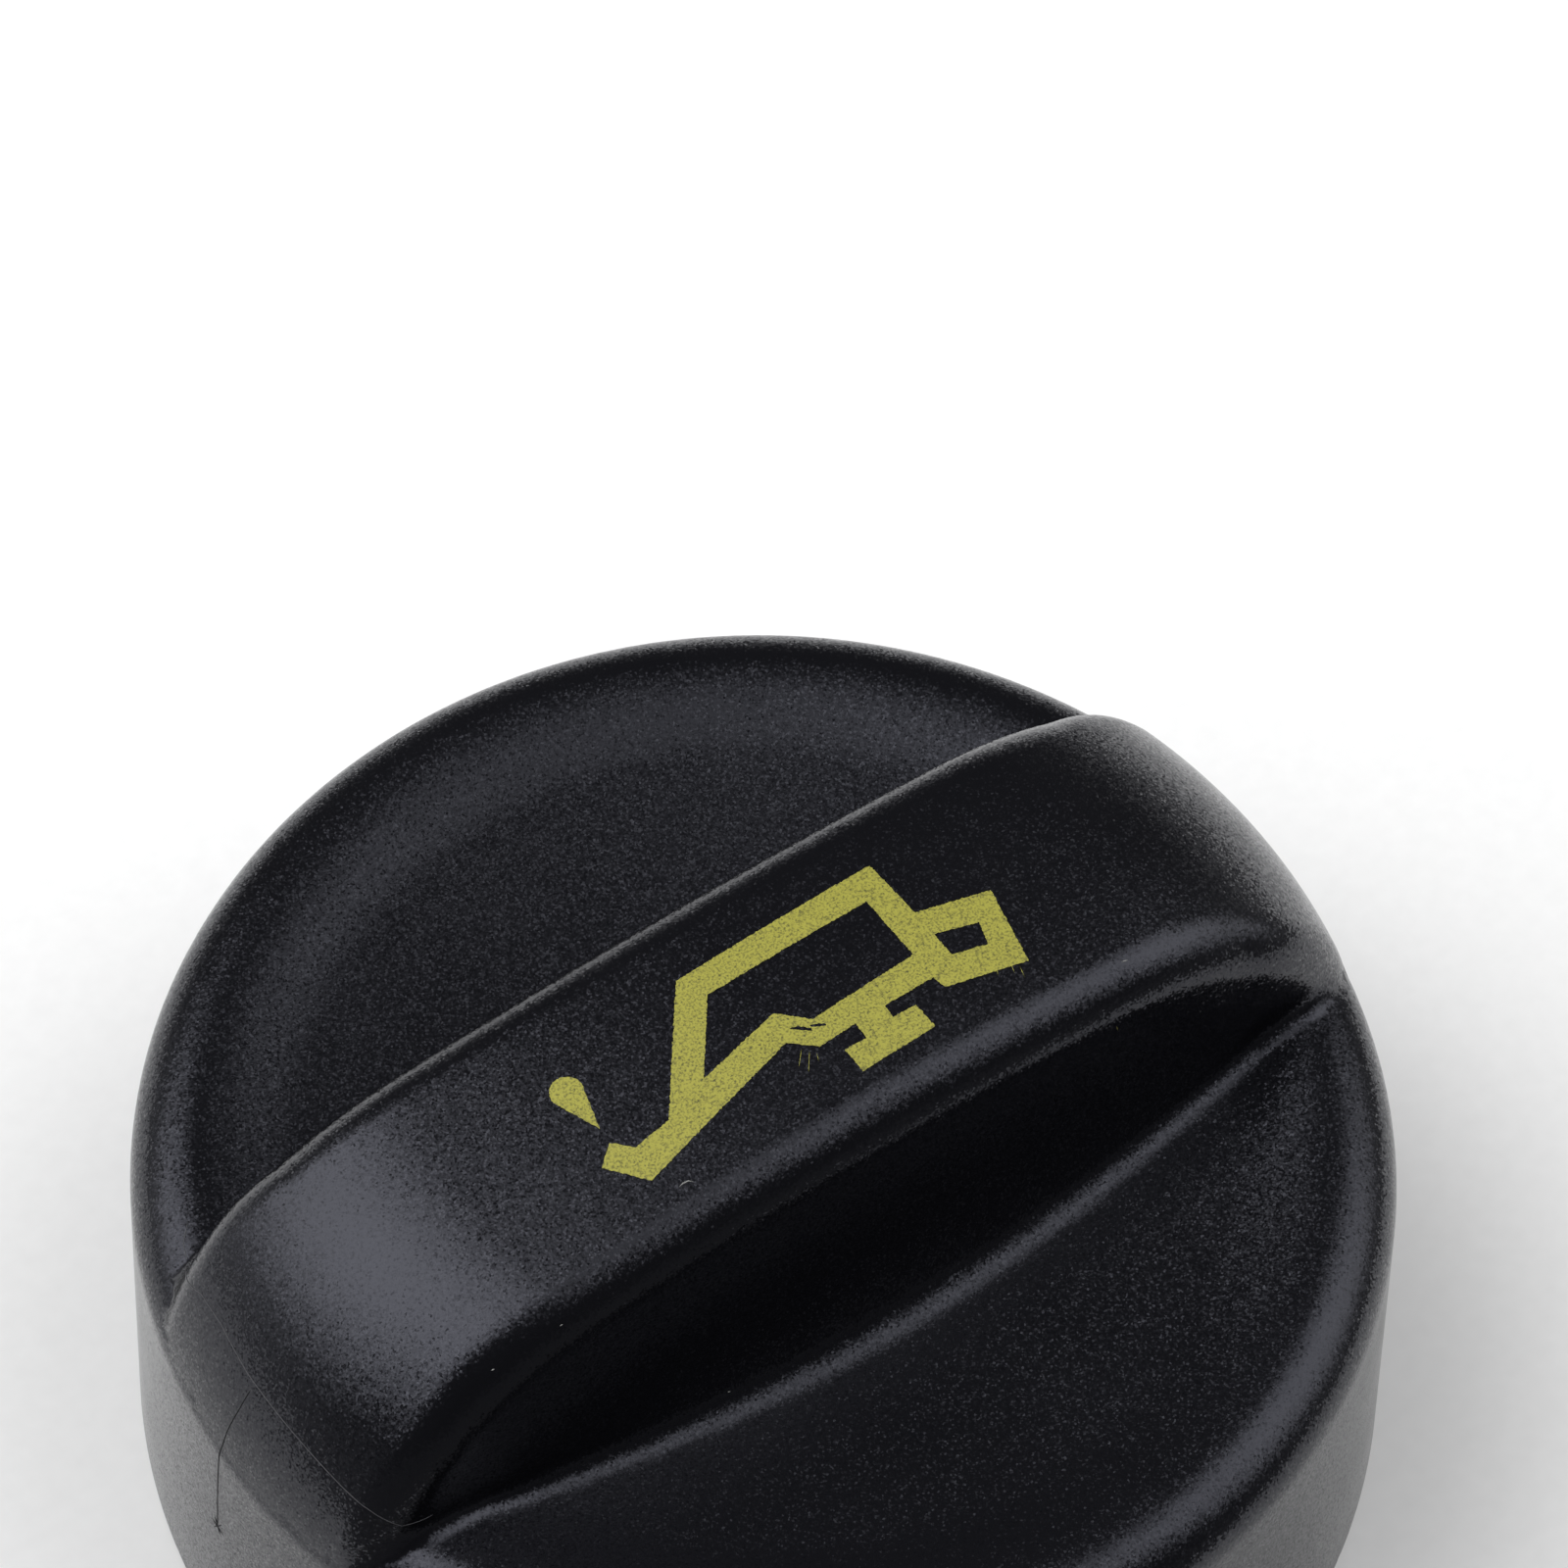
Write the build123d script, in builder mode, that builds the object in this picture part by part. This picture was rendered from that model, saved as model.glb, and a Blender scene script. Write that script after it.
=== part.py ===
"""Oil filler cap: a moulded twist cap with a grip bar across its top, and the seal ring on its plug.

Millimetres, +Z up. The origin is the middle of the plane that the skirt's foot stands on, and the
grip bar lies along X.
"""
import math
import os

from build123d import *

# Skirt and rim
cap_radius = 30.0  # outside of the skirt under its shoulder
skirt_draft = 1.0  # degrees that the skirt opens towards its foot
foot_round = 0.6
rim_height = 20.7  # foot to the crest of the rim
shoulder_radius = 3.0
land_depth = 0.8  # edge of the finger lands below the rim's crest
rim_slope = 5.0  # run of the slope from the rim's crest down to the edge of a land
dish_depth = 1.2  # middle of the dish that the lands lie in, below their edge

# Grip bar
bar_height = 31.0  # foot to the top of the bar at its middle
bar_width = 15.8  # across the bar's top, before its edges are rounded
bar_draft = 6.0  # degrees
bar_edge_radius = 2.5
bar_crown_radius = 160.0
bar_end_radius = 14.5  # roll of the bar's ends into the skirt
flare_drop = 5.4  # bar's top to the line where its sides start to spread
flare_width = 22.6  # across the spread foot of the bar, at its middle
flare_length = 44.0
flare_bite = 0.2  # sink of the spread foot's edges into the bar's plain sides and the lands
crease_radius = 1.6  # hollow between the bar's foot and the lands
crease_steps = 4  # strips that the hollow is drawn with

# Wall section
wall = 2.4
inner_corner_radius = 1.5

# Bayonet plug
plug_radius = 17.0
plug_wall = 2.4
plug_recess = 1.5  # plug's end above the skirt's foot
plug_lead = 0.8  # chamfer at the plug's end
lug_count = 2
lug_reach = 4.0
lug_height = 3.6  # in the middle of a lug's sloping upper face
lug_angle = 50.0  # degrees round the plug
lug_ramp = 5.0  # degrees that a lug's upper face climbs

# Seal ring and its groove
seal_cord = 3.0
seal_clearance = 0.05  # between the ring and the bottom of its groove
groove_clearance = 0.3  # between the ring and each side of its groove
collar_reach = 1.8
collar_width = 1.4

# Ribs
rib_thickness = 1.6
rib_depth = 4.0  # below the roof of the cap
rib_count = 8
bar_rib_spacing = 14.0

# Sizes that follow
shoulder_height = rim_height - shoulder_radius
land_height = rim_height - land_depth
roof_height = land_height - wall
flare_height = bar_height - flare_drop
draft_slope = math.tan(math.radians(skirt_draft))
bar_slope = math.tan(math.radians(bar_draft))
foot_radius = cap_radius + shoulder_height * draft_slope
crest_radius = cap_radius - shoulder_radius
land_radius = crest_radius - rim_slope
dish_radius = (land_radius**2 + dish_depth**2) / (2 * dish_depth)
dish_slope = land_radius / (dish_radius - dish_depth)
rib_foot = roof_height - rib_depth
groove_width = seal_cord + 2 * groove_clearance
seal_height = rib_foot - collar_width - groove_width / 2
bar_reach = 2 * cap_radius


def wall_radius(height):
    """Radius of the drafted outside of the skirt at a height."""
    return foot_radius - height * draft_slope


def land_level(radius):
    """Height of the dished lands at a distance from the cap's axis."""
    return land_height - dish_depth + dish_radius - math.sqrt(dish_radius**2 - radius**2)


def half_width(height):
    """Half the distance between the bar's plain drafted sides at a height."""
    return bar_width / 2 + (bar_height - height) * bar_slope


def dome(inset):
    """Body of revolution whose crown and rolled edge give the bar its top and its ends."""
    corner_radius = wall_radius(bar_height) - inset
    crown = bar_crown_radius - inset
    top = bar_height - inset
    corner_height = top - crown + math.sqrt(crown**2 - corner_radius**2)
    with BuildPart() as body:
        with BuildSketch(Plane.XZ) as section:
            with BuildLine():
                Polyline((corner_radius, corner_height), (foot_radius - inset, 0), (0, 0), (0, top))
                RadiusArc((0, top), (corner_radius, corner_height), crown)
            make_face()
            rolled = section.vertices().group_by(Axis.Y)[-2]
            fillet(rolled, bar_end_radius - inset)
        revolve(axis=Axis.Z)
    return body.part


def flare_outline(height, middle_half, inset):
    """Outline of the bar's spread foot at a height: two bowed sides between square ends."""
    reach = flare_length / 2
    end_half = half_width(height) - inset - flare_bite
    with BuildSketch(Plane.XY.offset(height)) as outline:
        with BuildLine():
            near = ThreePointArc((-reach, -end_half), (0, -middle_half), (reach, -end_half))
            far = ThreePointArc((reach, end_half), (0, middle_half), (-reach, end_half))
            Line(near @ 1, far @ 0)
            Line(far @ 1, near @ 0)
        make_face()
    return outline.sketch


def flare_form(inset, base_height, hollow_radius):
    """Spread foot of the bar: sides that lean out, and a hollow where they run out into the lands."""
    foot_height = land_level(flare_width / 2)
    spread = (flare_width / 2 - half_width(flare_height)) / (flare_height - foot_height)
    turn = math.pi / 2 - math.atan(spread)
    hollow_middle = flare_width / 2 - inset + hollow_radius * math.tan(turn / 2)
    profile = [(half_width(flare_height) - inset - flare_bite / 2, flare_height)]
    if hollow_radius > 0:
        for step in range(crease_steps, -1, -1):
            lean = turn * step / crease_steps
            profile.append((
                hollow_middle - hollow_radius * math.sin(lean),
                foot_height + hollow_radius * (1 - math.cos(lean)),
            ))
    else:
        profile.append((flare_width / 2 - inset, foot_height))
    (upper_half, upper), (lower_half, lower) = profile[-2:]
    run_out = (lower_half - upper_half) / (upper - lower)
    profile[-1] = (lower_half + run_out * (lower - base_height), base_height)
    outlines = [flare_outline(height, middle_half, inset) for middle_half, height in profile]
    with BuildPart() as flare:
        loft(outlines, ruled=True)
    return flare.part


def bar_form(inset, base_height, edge_radius):
    """Grip bar from base_height up, drawn in by inset: drafted sides under the dome."""
    blank = dome(inset)
    with BuildPart() as sides:
        with BuildSketch(Plane.XY.offset(base_height)):
            Rectangle(2 * bar_reach, 2 * (half_width(base_height) - inset))
        extrude(amount=bar_height, taper=bar_draft)
        add(blank, mode=Mode.INTERSECT)
        if edge_radius > 0:
            edges = sides.edges().filter_by(lambda edge: abs(edge.center().Y) > bar_width / 3)
            fillet(edges.filter_by(lambda edge: edge.center().Z > land_height), edge_radius)
    return sides.part


def skirt_form():
    """Low cup under the bar: drafted skirt, round shoulder, rim and sunk finger lands."""
    with BuildPart() as body:
        with BuildSketch(Plane.XZ):
            with BuildLine():
                dish_middle = (0, land_height - dish_depth)
                land_edge = (land_radius, land_height)
                crest = (crest_radius, rim_height)
                Polyline(dish_middle, (0, 0), (foot_radius, 0), (cap_radius, shoulder_height))
                RadiusArc((cap_radius, shoulder_height), crest, -shoulder_radius)
                Spline(crest, land_edge, tangents=[(-1, 0), (-1, -dish_slope)])
                RadiusArc(land_edge, dish_middle, dish_radius)
            make_face()
        revolve(axis=Axis.Z)
        fillet(body.edges().filter_by(GeomType.CIRCLE).group_by(Axis.Z)[0], foot_round)
    return body.part


def skirt_hollow():
    """Space inside the skirt, under a roof that follows the lands."""
    roof_corner = (wall_radius(roof_height) - wall, roof_height)
    roof_edge = (land_radius, roof_height)
    roof_middle = (0, roof_height - dish_depth)
    with BuildPart() as space:
        with BuildSketch(Plane.XZ) as section:
            with BuildLine():
                Polyline(roof_middle, (0, 0), (foot_radius - wall, 0), roof_corner, roof_edge)
                RadiusArc(roof_edge, roof_middle, dish_radius)
            make_face()
            fillet(section.vertices().sort_by_distance(roof_corner)[0], inner_corner_radius)
        revolve(axis=Axis.Z)
    return space.part


def lug():
    """Bayonet lug on the +Y side of the plug, cut off above by a slope that climbs round the plug."""
    top = plug_recess + lug_height
    outer_radius = plug_radius + lug_reach
    half_span = outer_radius * math.tan(math.radians(lug_angle / 2))
    slope = Plane(origin=(0, plug_radius, top), z_dir=(0, 0, 1)).rotated((0, lug_ramp, 0))
    with BuildPart() as body:
        with BuildSketch(Plane.XY.offset(plug_recess)):
            Circle(outer_radius)
            Circle(plug_radius - plug_wall / 2, mode=Mode.SUBTRACT)
            corners = ((0, 0), (half_span, outer_radius), (-half_span, outer_radius))
            Polygon(*corners, align=None, mode=Mode.INTERSECT)
        extrude(amount=2 * lug_height)
        split(bisect_by=slope, keep=Keep.BOTTOM)
    return body.part


# Closed outside of the moulding
skirt = skirt_form()
bar = bar_form(0, rib_foot, bar_edge_radius)
flare = flare_form(0, land_level(flare_width / 2) - flare_bite, crease_radius)
with BuildPart() as outside:
    add(skirt)
    add(bar)
    add(flare)

hollow = skirt_hollow()
bar_hollow = bar_form(wall, roof_height - wall, 0)
flare_hollow = flare_form(wall, roof_height - wall, 0)
bayonet_lug = lug()

# Plug and ribs, which run up into the moulding and end inside it
with BuildPart() as inner_walls:
    with BuildSketch(Plane.XY.offset(plug_recess)):
        Circle(plug_radius)
        Circle(plug_radius - plug_wall, mode=Mode.SUBTRACT)
    extrude(amount=bar_height)
    chamfer(inner_walls.edges().group_by(Axis.Z)[0], plug_lead)
    with BuildSketch(Plane.XY.offset(rib_foot)):
        with PolarLocations(0, rib_count, start_angle=180 / rib_count):
            Rectangle(foot_radius, rib_thickness, align=(Align.MIN, Align.CENTER))
        Circle(plug_radius - plug_wall / 2, mode=Mode.SUBTRACT)
    extrude(amount=bar_height)
    with BuildSketch(Plane.XY.offset(roof_height - dish_depth)):
        with GridLocations(bar_rib_spacing, 0, 2, 1):
            Rectangle(rib_thickness, flare_width)
    extrude(amount=bar_height)
    add(outside.part, mode=Mode.INTERSECT)

# One moulding: skirt, bar, plug, collars, lugs and ribs
with BuildPart() as cap_body:
    add(outside.part)
    add(hollow, mode=Mode.SUBTRACT)
    add(bar_hollow, mode=Mode.SUBTRACT)
    add(flare_hollow, mode=Mode.SUBTRACT)
    add(inner_walls.part)
    for collar_middle in (-1, 1):
        collar_height = seal_height + collar_middle * (groove_width + collar_width) / 2
        with BuildSketch(Plane.XY.offset(collar_height - collar_width / 2)):
            Circle(plug_radius + collar_reach)
            Circle(plug_radius - plug_wall / 2, mode=Mode.SUBTRACT)
        extrude(amount=collar_width)
    with PolarLocations(0, lug_count):
        add(bayonet_lug)

# Rubber ring round the plug, between the collars
with BuildPart() as seal_ring:
    with Locations((0, 0, seal_height)):
        Torus(plug_radius + seal_clearance + seal_cord / 2, seal_cord / 2)

os.makedirs("parts", exist_ok=True)
cap_body.part.label = "cap_body"
export_step(cap_body.part, "parts/cap_body.step")
seal_ring.part.label = "seal_ring"
export_step(seal_ring.part, "parts/seal_ring.step")
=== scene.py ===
"""Looks of the oil filler cap: grained black moulding, printed oil can sign, rubber ring, stage and camera."""
import math
from types import SimpleNamespace

import bpy
import numpy as np
from mathutils import Matrix, Vector
from mathutils.geometry import delaunay_2d_cdt


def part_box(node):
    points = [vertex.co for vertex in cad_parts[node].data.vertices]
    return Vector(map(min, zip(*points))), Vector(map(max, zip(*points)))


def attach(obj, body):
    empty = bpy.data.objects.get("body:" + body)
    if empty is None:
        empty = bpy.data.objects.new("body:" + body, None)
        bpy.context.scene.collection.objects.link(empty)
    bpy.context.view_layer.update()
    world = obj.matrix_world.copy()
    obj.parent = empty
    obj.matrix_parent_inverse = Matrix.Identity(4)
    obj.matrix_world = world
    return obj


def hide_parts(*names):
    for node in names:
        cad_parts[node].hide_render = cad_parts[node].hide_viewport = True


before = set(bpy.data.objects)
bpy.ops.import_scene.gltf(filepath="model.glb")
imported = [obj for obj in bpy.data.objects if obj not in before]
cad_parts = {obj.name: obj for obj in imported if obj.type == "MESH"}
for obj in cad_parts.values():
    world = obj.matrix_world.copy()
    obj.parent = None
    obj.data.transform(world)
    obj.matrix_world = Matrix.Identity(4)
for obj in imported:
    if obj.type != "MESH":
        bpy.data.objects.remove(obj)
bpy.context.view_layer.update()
CAP_LOW, CAP_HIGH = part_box("cap_body")
RING_LOW, RING_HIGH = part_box("seal_ring")

bl_info = {
    "name": "Oil filler cap",
    "version": (1, 0, 0),
    "blender": (4, 5, 0),
    "location": "View3D > Sidebar > Filler cap",
    "description": "Builds the looks of a moulded oil filler cap around its packed solids",
    "category": "Object",
}

MM = 0.001  # metres in a millimetre


def linear(hex_colour):
    """Linear red, green and blue of an sRGB colour written as #rrggbb."""
    parts = [int(hex_colour[i:i + 2], 16) / 255 for i in (1, 3, 5)]
    return tuple(c / 12.92 if c <= 0.04045 else ((c + 0.055) / 1.055) ** 2.4 for c in parts)


def length(name, description, default):
    """A length property in metres, from a default in millimetres."""
    return bpy.props.FloatProperty(
        name=name, description=description, default=default * MM, min=0, precision=5, subtype="DISTANCE", unit="LENGTH"
    )


def angle(name, description, default):
    """An angle property in radians, from a default in degrees."""
    return bpy.props.FloatProperty(
        name=name, description=description, default=math.radians(default), precision=4, subtype="ANGLE", unit="ROTATION"
    )


def colour(name, description, default):
    """A colour property, from an sRGB default written as #rrggbb."""
    return bpy.props.FloatVectorProperty(
        name=name, description=description, default=linear(default), min=0, max=1, subtype="COLOR"
    )


def factor(name, description, default, top=10.0):
    """A plain number property."""
    return bpy.props.FloatProperty(name=name, description=description, default=default, min=0, max=top)


class CapForm(bpy.types.PropertyGroup):
    """Sizes of the moulding and of the seal ring."""

    bar_height: length("Bar height", "Foot of the skirt to the top of the bar, under the ink", CAP_HIGH.z / MM - 0.015)
    foot_radius: length("Foot radius", "Outside of the skirt at its foot", CAP_HIGH.x / MM)
    skirt_draft: angle("Skirt draft", "How far the skirt opens towards its foot", 1.0)
    foot_round: length("Foot round", "Round of the skirt's outer foot edge", 0.6)
    rim_height: length("Rim height", "Foot to the crest of the rim", 20.7)
    shoulder_radius: length("Shoulder radius", "Round from the skirt to the rim", 3.0)
    land_depth: length("Land depth", "Edge of the finger lands below the rim's crest", 0.8)
    rim_slope: length("Rim slope", "Run of the slope from the rim's crest to the edge of a land", 5.0)
    dish_depth: length("Dish depth", "Middle of the lands' dish below their edge", 1.2)
    bar_width: length("Bar width", "Across the bar's top before its edges are rounded", 15.8)
    bar_draft: angle("Bar draft", "Lean of the bar's sides", 6.0)
    bar_edge_radius: length("Bar edge radius", "Round of the bar's long top edges", 2.5)
    bar_crown_radius: length("Bar crown radius", "Curve of the bar's top", 160.0)
    bar_end_radius: length("Bar end radius", "Roll of the bar's ends into the skirt", 14.5)
    flare_height: length("Flare height", "Foot to the line where the bar's sides spread", 23.0)
    flare_width: length("Flare width", "Across the spread foot of the bar at its middle", 22.6)
    flare_length: length("Flare length", "Length of the bar's spread foot", 44.0)
    flare_hollow: length("Flare hollow", "Round where the bar's sides start to spread", 16.0)
    crease_radius: length("Crease radius", "Hollow between the bar's foot and the lands", 1.6)
    wall: length("Wall", "Thickness of the moulding", 2.4)
    inner_corner: length("Inner corner", "Round between skirt and roof inside", 1.5)
    plug_radius: length("Plug radius", "Outside of the bayonet plug", 17.0)
    plug_recess: length("Plug recess", "End of the plug above the skirt's foot", 1.5)
    lug_reach: length("Lug reach", "How far a lug stands out of the plug", 4.0)
    lug_height: length("Lug height", "Height of a lug in its middle", 3.6)
    lug_angle: angle("Lug angle", "Width of a lug round the plug", 50.0)
    lug_ramp: angle("Lug ramp", "Climb of a lug's upper face", 5.0)
    collar_reach: length("Collar reach", "How far a collar stands out of the plug", 1.8)
    collar_width: length("Collar width", "Thickness of a collar", 1.4)
    rib_thickness: length("Rib thickness", "Thickness of the ribs inside", 1.6)
    rib_depth: length("Rib depth", "Ribs below the roof", 4.0)
    bar_rib_spacing: length("Bar rib spacing", "Between the two ribs inside the bar", 14.0)
    groove_width: length("Groove width", "Between the collars", 3.6)
    ring_height: length("Ring height", "Foot to the middle of the seal ring", (RING_LOW.z + RING_HIGH.z) / 2 / MM)
    ring_cord: length("Ring cord", "Thickness of the seal ring", (RING_HIGH.z - RING_LOW.z) / MM)
    ring_radius: length("Ring radius", "Outside of the seal ring", RING_HIGH.x / MM)
    skin_pitch: length("Skin pitch", "Spacing of the moulding's mesh", 0.51)


class CapFinish(bpy.types.PropertyGroup):
    """Colours of the finishes."""

    plastic: colour("Plastic", "Black of the moulding", "#0d0d10")
    rubber: colour("Rubber", "Black of the seal ring", "#141414")
    ink: colour("Ink", "Yellow of the printed sign", "#a19d3c")
    flash: colour("Flash", "Grey of the moulding's flash line", "#3c3c40")
    lint: colour("Lint", "Pale grey of the lint", "#8c8c8a")
    fibre: colour("Fibre", "Dark grey of the stray fibre", "#161618")
    floor: colour("Floor", "White of the floor", "#f4f4f4")


class CapStage(bpy.types.PropertyGroup):
    """Camera, lamps and surroundings."""

    camera_turn: angle("Camera turn", "Camera's place round the cap, from square on to the bar", -36.4)
    camera_rise: angle("Camera rise", "Camera's height above the rim, as an angle", 55.78)
    camera_roll: angle("Camera roll", "Tilt of the picture", 1.63)
    camera_distance: length("Camera distance", "From the middle of the rim along the view", 415.53)
    aim_right: length("Aim right", "Rim's middle left of the picture's middle", 0.905)
    aim_down: length("Aim down", "Rim's middle below the picture's middle", 16.321)
    lens: factor("Lens", "Focal length in millimetres on a 36 mm sensor", 202.5, 1000.0)
    left_box: factor("Left softbox", "Power of the softbox behind on the left, in watts", 33.0, 100.0)
    right_box: factor("Right softbox", "Power of the softbox on the right, in watts", 19.0, 100.0)
    box_distance: length("Softbox distance", "From the cap to the softboxes", 800.0)
    room: factor("Room", "Brightness of the dim room round the table", 0.08)
    front_glow: factor("Front glow", "Brightness of the room low down before the cap", 0.18)
    back_glow: factor("Back glow", "Brightness of the pale backdrop low down behind the cap", 0.5)


def millimetres(group):
    """The settings of a property group as plain numbers, with its lengths in millimetres."""
    values = {}
    for name, prop in group.bl_rna.properties.items():
        if prop.type == "FLOAT" and not prop.is_array:
            values[name] = getattr(group, name) / (MM if prop.unit == "LENGTH" else 1)
    return SimpleNamespace(**values)


def rolled(a, b, radius, lean=0.0):
    """Field of what lies inside two fields, with a rolled edge.

    Each field is moved in by the radius. Past the corner of the two moved surfaces the field is the
    distance from that corner, elsewhere the larger of the two, and the radius comes off again. lean is
    the cosine of the angle between the two surfaces' outward normals.
    """
    a = a + radius
    b = b + radius
    past = (a > lean * b) & (b > lean * a)
    corner = np.sqrt(np.maximum(a * a + b * b - 2 * lean * a * b, 0) / (1 - lean * lean))
    return np.where(past, corner, np.maximum(a, b)) - radius


def filled(a, b, radius, lean=0.0):
    """Field of what lies inside either of two fields, with a hollow fillet in the corner between them."""
    return -rolled(-a, -b, radius, lean)


def skirt_wall(c, r, z, inset):
    """Distance outside the drafted skirt, drawn in by inset: a cone about Z."""
    slope = math.tan(c.skirt_draft)
    return (r - (c.foot_radius - z * slope)) * math.cos(c.skirt_draft) + inset


def dome_field(c, r, z, inset):
    """Crown and ends of the bar, drawn in by inset: a ball inside the skirt's cone, with a rolled corner."""
    rise = z - c.bar_height + c.bar_crown_radius
    reach = np.hypot(r, rise)
    lean = (r * math.cos(c.skirt_draft) + rise * math.sin(c.skirt_draft)) / reach
    crown = reach - c.bar_crown_radius + inset
    return rolled(crown, skirt_wall(c, r, z, inset), c.bar_end_radius - inset, np.minimum(lean, 0.9))


def side_field(c, x, y, z, inset):
    """Sides of the bar, drawn in by inset.

    Each is a leaning plane. Under the flare height a second plane leans out further, by an amount that
    falls off along the bar with the bow of an arc, and the two planes meet in a hollow.
    """
    side_slope = math.tan(c.bar_draft)
    half = c.bar_width / 2 + (c.bar_height - z) * side_slope - inset
    side = (np.abs(y) - half) * math.cos(c.bar_draft)
    flare_half = c.bar_width / 2 + (c.bar_height - c.flare_height) * side_slope
    drop = c.flare_height - dish_level(c, c.flare_width / 2)
    plain_foot = flare_half + drop * side_slope
    bow = c.flare_width / 2 - plain_foot
    bow_radius = ((c.flare_length / 2) ** 2 + bow ** 2) / (2 * bow)
    foot = c.flare_width / 2 - bow_radius + np.sqrt(np.maximum(bow_radius ** 2 - x * x, 0))
    spread = (foot - flare_half) / drop
    flank = (np.abs(y) - flare_half + inset - (c.flare_height - z) * spread) / np.sqrt(1 + spread ** 2)
    lean = np.minimum(np.cos(np.arctan(spread) - c.bar_draft), 0.999)
    return filled(side, flank, c.flare_hollow, lean)


def dish_level(c, r):
    """Height of the shallow dish that the lands lie in: a parabola about Z, level beyond its edge."""
    return c.land_height - c.dish_depth * (1 - np.minimum(r / c.land_radius, 1) ** 2)


def skirt_field(c, r, z):
    """Low cup, rolled at the shoulder into the skirt.

    Its top is the dish, and from the dish's edge a cubic in the radius that starts with the dish's slope
    and ends level on the rim's crest.
    """
    t = np.clip((r - c.land_radius) / c.rim_slope, 0, 1)
    edge_slope = 2 * c.dish_depth / c.land_radius
    rise = c.land_depth * t * t * (3 - 2 * t) + edge_slope * c.rim_slope * t * (1 - t) ** 2
    top = dish_level(c, r) + rise
    return rolled(z - top, skirt_wall(c, r, z, 0), c.shoulder_radius, math.sin(c.skirt_draft))


def cap_field(c, x, y, z):
    """Whole moulding: skirt and bar, less the hollows inside, with the plug, collars, lugs and ribs."""
    soft = 0.5  # small moulded rounds inside
    plug_round = 0.8  # round of the plug's end
    lug_step = 0.3  # lugs start this far above the plug's end
    crease_lean = 0.4  # cosine of the angle between the lands' and the bar's outward normals at the crease
    r = np.hypot(x, y)
    skirt = skirt_field(c, r, z)
    edge_lean = np.minimum(math.sin(c.bar_draft) + np.abs(y) / c.bar_crown_radius, 0.9)
    bar = filled(skirt, side_field(c, x, y, z, 0), c.crease_radius, crease_lean)
    bar = rolled(bar, dome_field(c, r, z, 0), c.bar_edge_radius, edge_lean)
    outside = rolled(np.minimum(skirt, bar), -z, c.foot_round)
    roof = c.land_height - c.wall
    skirt_space = rolled(skirt_wall(c, r, z, c.wall), z - dish_level(c, r) + c.wall, c.inner_corner)
    bar_space = rolled(side_field(c, x, y, z, c.wall), dome_field(c, r, z, c.wall), soft)
    space = filled(skirt_space, bar_space, soft)
    plug_middle = c.plug_radius - c.wall / 2
    plug = rolled(np.abs(r - plug_middle) - c.wall / 2, c.plug_recess - z, plug_round)
    sector = np.pi / 4
    part = np.mod(np.arctan2(y, x), sector) - sector / 2
    ribs = rolled(np.abs(r * np.sin(part)) - c.rib_thickness / 2, roof - c.rib_depth - z, soft)
    ribs = np.maximum(ribs, plug_middle - r)
    bar_ribs = np.abs(np.abs(x) - c.bar_rib_spacing / 2) - c.rib_thickness / 2
    bar_ribs = np.maximum(bar_ribs, np.maximum(roof - c.dish_depth - z, r - plug_middle))
    level = np.abs(np.abs(z - c.ring_height) - (c.groove_width + c.collar_width) / 2) - c.collar_width / 2
    collars = np.maximum(rolled(r - c.plug_radius - c.collar_reach, level, soft), plug_middle - r)
    half = c.lug_angle / 2
    sides = np.abs(x) * math.cos(half) - np.abs(y) * math.sin(half)
    climb = c.plug_recess + c.lug_height - x * np.sign(y) * math.tan(c.lug_ramp)
    lugs = rolled(r - c.plug_radius - c.lug_reach, sides, soft)
    lugs = rolled(lugs, np.maximum(z - climb, c.plug_recess + lug_step - z), soft)
    lugs = np.maximum(lugs, plug_middle - r)
    walls = filled(filled(plug, ribs, soft), np.minimum(collars, lugs), soft)
    walls = np.maximum(np.minimum(walls, bar_ribs), outside + c.wall / 2)
    return filled(rolled(outside, -space, soft), walls, soft)


def slope_of(field, points, step=0.01):
    """Field and its gradient at points, by differences over a small step each way."""
    gradient = np.empty_like(points)
    for axis in range(3):
        shift = np.zeros(3)
        shift[axis] = step
        gradient[:, axis] = (field(*(points + shift).T) - field(*(points - shift).T)) / (2 * step)
    return field(*points.T), gradient


def settle(field, points, reach, rounds):
    """Moves points down the field's gradient onto its zero surface, at most reach in a round."""
    for _ in range(rounds):
        value, gradient = slope_of(field, points)
        steep = np.maximum((gradient ** 2).sum(1), 0.05)
        points = points - gradient * np.clip(value / steep, -reach, reach)[:, None]
    return points


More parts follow.
